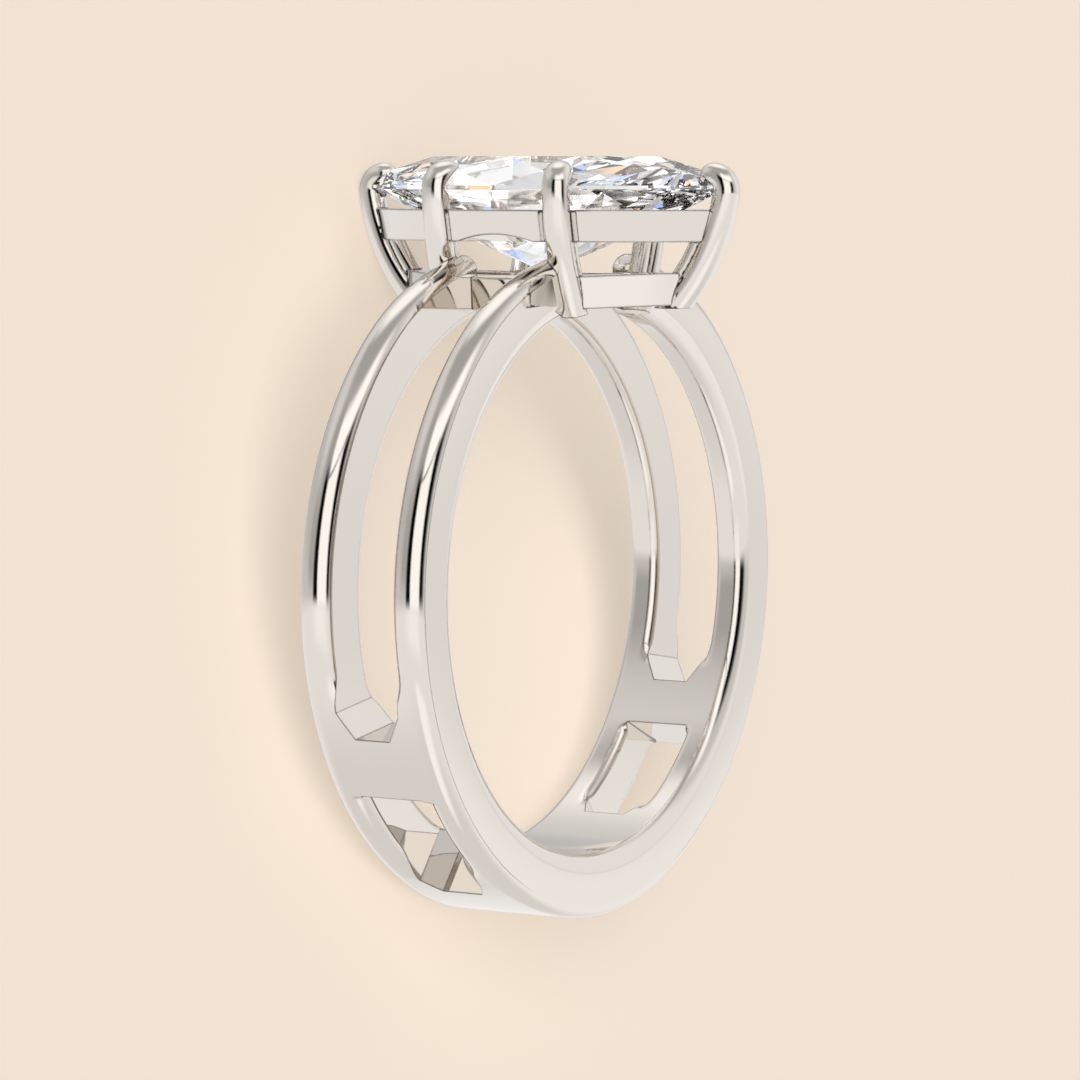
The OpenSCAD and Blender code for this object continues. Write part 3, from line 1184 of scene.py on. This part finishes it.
@dataclass
class Stone:
    """The marquise cut stone, whose facets are those of the frame."""

    finish: CutDiamond = CutDiamond()

    def dress(self, node: bpy.types.Object) -> bpy.types.Object:
        """Gives the stone its material.

        Args:
            node: The stone.

        Returns:
            The same stone.
        """
        node.data.materials.clear()
        node.data.materials.append(self.finish.material())
        return node


@dataclass
class Camera:
    """The viewpoint of the photograph, given in the ring's upright frame."""

    spot: tuple[float, float, float] = (-135.3307, -85.8134, 13.1792)
    yaw: float = 1.0046
    pitch: float = -0.0745
    focal_px: float = 5056.37
    clip_m: tuple[float, float] = (0.002, 20.0)

    def build(self) -> bpy.types.Object:
        """Makes the camera and sets it.

        Returns:
            The camera.
        """
        ahead = Vector((math.cos(self.pitch) * math.sin(self.yaw),
                        math.cos(self.pitch) * math.cos(self.yaw), math.sin(self.pitch)))
        right = Vector((math.cos(self.yaw), -math.sin(self.yaw), 0))
        up = right.cross(ahead)
        turn = REST.matrix().to_3x3().normalized()
        basis = Matrix((turn @ right, turn @ up, -(turn @ ahead))).transposed()
        data = bpy.data.cameras.new("camera")
        data.sensor_width = SENSOR_MM
        data.lens = self.focal_px * SENSOR_MM / FRAME_PIXELS
        data.clip_start, data.clip_end = self.clip_m
        thing = place("camera", data)
        thing.matrix_world = Matrix.Translation(REST.matrix() @ Vector(self.spot)) @ basis.to_4x4()
        bpy.context.scene.camera = thing
        return thing


@dataclass(frozen=True)
class Panel:
    """One even area of the light tent, seen from the ring.

    Azimuths run from the ring's left side over its top side, as it lies, and elevations
    towards its head. Each edge has its own softness.
    """

    azimuth: tuple[float, float]
    elevation: tuple[float, float]
    strength: float
    soft_azimuth: tuple[float, float] = (1.5, 1.5)
    soft_elevation: tuple[float, float] = (1.5, 1.5)


@dataclass
class Tent:
    """White light tent with two dark gaps, as jewellery is lit: the world round the scene."""

    strength: float = 0.8
    panels: tuple[Panel, ...] = (
        # Below the horizon
        Panel((-300, 300), (-40, 95), 0.93, (1, 1), (14, 1)),
        Panel((-5, 62), (-18, -5), 1.07, (25, 15), (5, 1)),
        Panel((14, 62), (-75, -29), 1.12, (8, 15), (10, 3)),
        Panel((118, 300), (-40, -7), 1.02, (10, 1), (14, 2)),
        # The left and the back of the tent
        Panel((-300, 300), (-5.5, 95), 0.67, (1, 1), (2.5, 1)),
        Panel((-300, -45), (4, 24), 0.58, (1, 12), (6, 8)),
        Panel((-300, -45), (30, 56), 0.77, (1, 12), (8, 6)),
        Panel((-48, -3), (0, 27), 0.44, (12, 5), (5, 9)),
        Panel((-32, 14), (26, 60), 0.42, (12, 8), (9, 8)),
        Panel((118, 300), (-5.5, 45), 0.93, (10, 1), (5, 8)),
        Panel((-300, 300), (58, 95), 0.44, (1, 1), (9, 1)),
        Panel((-143, -122), (0, 18), 0.33, (4, 10), (3, 6)),
        # The lit wall, the seam in it and the two dark gaps beside it
        Panel((10, 100), (33, 54), 1.25, (7, 12), (1, 6)),
        Panel((14, 67), (-6, 32.6), 1.2, (1, 4), (1.5, 0.5)),
        Panel((16, 70), (32.2, 33.8), 0.12, (1, 1), (0.5, 0.5)),
        Panel((-11, 14), (-5, 36), 0.003, (4, 1), (2, 5)),
        Panel((68, 92), (-5, 30), 0.003, (1.5, 8), (2, 3)),
    )
    # The bright back of the roof: its strength and azimuth, and between which elevations
    # and which shares of that way it comes in
    roof_strength: float = 1.2
    roof_azimuth: float = -148.0
    roof_elevation: tuple[float, float] = (34.0, 62.0)
    roof_front: tuple[float, float] = (-0.1, 0.2)
    roof_slant: float = 1.05
    roof_edge: tuple[float, float] = (-0.35, -0.05)
    # Thin coloured bands that the stone alone breaks up into flashes: how many go
    # round the tent, how they slant, and how much of it they take
    fire_bands: float = 23.0
    fire_slant: float = 16.0
    fire_start: float = 0.96
    fire_tones: tuple[str, str] = ("FFC896", "A9C4FF")
    # How much of the tent falls on the floor, where the soft light does the rest, and
    # into the stone
    floor_share: float = 0.2
    stone_share: float = 1.3

    def share(self, tree: bpy.types.NodeTree,
              limits: list[tuple[bpy.types.NodeSocket, float, float]]) -> bpy.types.NodeSocket:
        """How much of a light is seen where several soft limits hold at once.

        Args:
            tree: The world's tree.
            limits: For each limit what it reads, where it starts and where it is full.

        Returns:
            A share from 0 to 1.
        """
        whole: object = 1.0
        for value, start, full in limits:
            step = add_node(tree, "ShaderNodeMapRange", {
                "Value": value, "From Min": start, "From Max": full},
                interpolation_type="SMOOTHSTEP")
            whole = add_node(tree, "ShaderNodeMath", {0: step.outputs[0], 1: whole},
                             operation="MULTIPLY").outputs[0]
        return whole

    def panel_share(self, tree: bpy.types.NodeTree, panel: Panel, azimuth: bpy.types.NodeSocket,
                    elevation: bpy.types.NodeSocket) -> bpy.types.NodeSocket:
        """How much of a panel is seen.

        Args:
            tree: The world's tree.
            panel: The panel.
            azimuth: Where the ray goes, in degrees.
            elevation: The same, upwards.

        Returns:
            A share from 0 to 1.
        """
        limits = []
        for value, edges, soft in ((azimuth, panel.azimuth, panel.soft_azimuth),
                                   (elevation, panel.elevation, panel.soft_elevation)):
            limits.append((value, edges[0] - soft[0], edges[0] + soft[0]))
            limits.append((value, edges[1] + soft[1], edges[1] - soft[1]))
        return self.share(tree, limits)

    def roof_share(self, tree: bpy.types.NodeTree, way: bpy.types.NodeSocket,
                   elevation: bpy.types.NodeSocket) -> bpy.types.NodeSocket:
        """How much of the roof's bright back is seen.

        Its front edge slants, so that nothing meets at the zenith.

        Args:
            tree: The world's tree.
            way: Where the ray goes, as a vector.
            elevation: The same, upwards, in degrees.

        Returns:
            A share from 0 to 1.
        """
        facing = math.radians(self.roof_azimuth)
        behind = add_node(tree, "ShaderNodeVectorMath", {
            0: way, 1: (math.cos(facing), math.sin(facing), 0.0)},
            operation="DOT_PRODUCT").outputs["Value"]
        flat = add_node(tree, "ShaderNodeVectorMath", {0: way, 1: (1.0, 1.0, 0.0)},
                        operation="MULTIPLY")
        sideways = add_node(tree, "ShaderNodeVectorMath", {0: flat.outputs[0]},
                            operation="LENGTH").outputs["Value"]
        slanting = add_node(tree, "ShaderNodeMath", {
            0: sideways, 1: -self.roof_slant, 2: behind}, operation="MULTIPLY_ADD").outputs[0]
        return self.share(tree, [(elevation, *self.roof_elevation), (behind, *self.roof_front),
                                 (slanting, *self.roof_edge)])

    def build(self) -> None:
        """Builds the tent as the scene's world."""
        world = bpy.data.worlds.new("light_tent")
        bpy.context.scene.world = world
        tree = empty_tree(world)
        look = add_node(tree, "ShaderNodeTexCoord").outputs["Generated"]
        upright = add_node(tree, "ShaderNodeVectorRotate", {
            "Vector": look, "Axis": (1.0, 0.0, 0.0), "Angle": math.radians(90 - REST.lean_deg)},
            rotation_type="AXIS_ANGLE")
        way = add_node(tree, "ShaderNodeVectorMath", {
            0: upright.outputs[0], 1: (-1.0, -1.0, 1.0)}, operation="MULTIPLY").outputs[0]
        parts = add_node(tree, "ShaderNodeSeparateXYZ", {0: way}).outputs
        angles = []
        for kind, at in (("ARCTAN2", {0: parts["Y"], 1: parts["X"]}), ("ARCSINE", {0: parts["Z"]})):
            turn = add_node(tree, "ShaderNodeMath", at, operation=kind)
            angles.append(add_node(tree, "ShaderNodeMath", {0: turn.outputs[0]},
                                   operation="DEGREES").outputs[0])
        azimuth, elevation = angles
        lights = [(self.panel_share(tree, panel, azimuth, elevation), grey(panel.strength))
                  for panel in self.panels]
        lights.append((self.roof_share(tree, way, elevation), grey(self.roof_strength)))
        ray = add_node(tree, "ShaderNodeLightPath").outputs
        slant = add_node(tree, "ShaderNodeMath", {0: elevation, 1: self.fire_slant},
                         operation="MULTIPLY")
        turns = add_node(tree, "ShaderNodeMath", {
            0: azimuth, 1: self.fire_bands, 2: slant.outputs[0]}, operation="MULTIPLY_ADD")
        phase = add_node(tree, "ShaderNodeMath", {0: turns.outputs[0]}, operation="RADIANS")
        wave = add_node(tree, "ShaderNodeMath", {0: phase.outputs[0]}, operation="SINE").outputs[0]
        for tone, sign in zip(self.fire_tones, (1.0, -1.0)):
            band = self.share(tree, [(wave, sign * self.fire_start, sign),
                                     (ray["Is Transmission Ray"], 0.0, 1.0)])
            lights.append((band, linear(tone)))
        light: object = grey(self.strength)
        for share, shine in lights:
            light = add_node(tree, "ShaderNodeMix", {0: share, 6: light, 7: shine},
                             data_type="RGBA").outputs[2]
        level: object = 1.0
        for kind, share in (("Is Diffuse Ray", self.floor_share),
                            ("Is Transmission Ray", self.stone_share)):
            level = add_node(tree, "ShaderNodeMix", {
                "Factor": ray[kind], "A": level, "B": share}, data_type="FLOAT").outputs[0]
        glow = add_node(tree, "ShaderNodeBackground", {"Color": light, "Strength": level})
        add_node(tree, "ShaderNodeOutputWorld", {"Surface": glow.outputs[0]})


@dataclass
class Studio:
    """A pale floor in the light tent, with one soft light from above."""

    tent: Tent = field(default_factory=Tent)
    floor: PaleFloor = PaleFloor()
    floor_m: float = 3.0
    sun_turn: tuple[float, float] = (35.0, 172.0)
    sun_strength: float = 1.3
    sun_spread_deg: float = 60.0

    def build(self) -> None:
        """Makes the floor and the light."""
        half = self.floor_m / 2
        mesh = bpy.data.meshes.new("floor")
        mesh.from_pydata([(-half, -half, 0), (half, -half, 0), (half, half, 0), (-half, half, 0)],
                         [], [[0, 1, 2, 3]])
        mesh.materials.append(self.floor.material())
        board = place("floor", mesh)
        # The metal and the stone mirror the tent alone, as on a small stand
        board.visible_glossy = False
        board.visible_transmission = False
        self.tent.build()
        self.soft_light()

    def soft_light(self) -> None:
        """Adds the soft light from above that draws the shadow."""
        data = bpy.data.lights.new("soft_light", "SUN")
        data.energy = self.sun_strength
        data.angle = math.radians(self.sun_spread_deg)
        lamp = place("soft_light", data)
        tilt, turn = (math.radians(a) for a in self.sun_turn)
        lamp.rotation_euler = (0.0, tilt, turn)
        lamp.visible_glossy = False


def main() -> None:
    """Builds the ring and its studio, and reports each piece."""
    logging.basicConfig(level=logging.INFO, format="%(name)s: %(message)s")
    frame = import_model()
    scene = bpy.context.scene
    scene.view_settings.view_transform = "Standard"
    for name, count in BOUNCES.items():
        setattr(scene.cycles, name, count)
    Camera().build()
    stone = Stone().dress(frame["nodes"]["marquise_stone"])
    LOG.info("%s: %d faces", stone.name, len(stone.data.polygons))
    mounting = Mounting().build(stone)
    mounting.data.calc_loop_triangles()
    LOG.info("%s: %d triangles, %d open edges", mounting.name,
             len(mounting.data.loop_triangles), shell_facts(mounting.data)[0])
    studio = Studio()
    studio.build()
    LOG.info("floor and light tent: %d panels", len(studio.tent.panels))


if __name__ == "__main__":
    main()
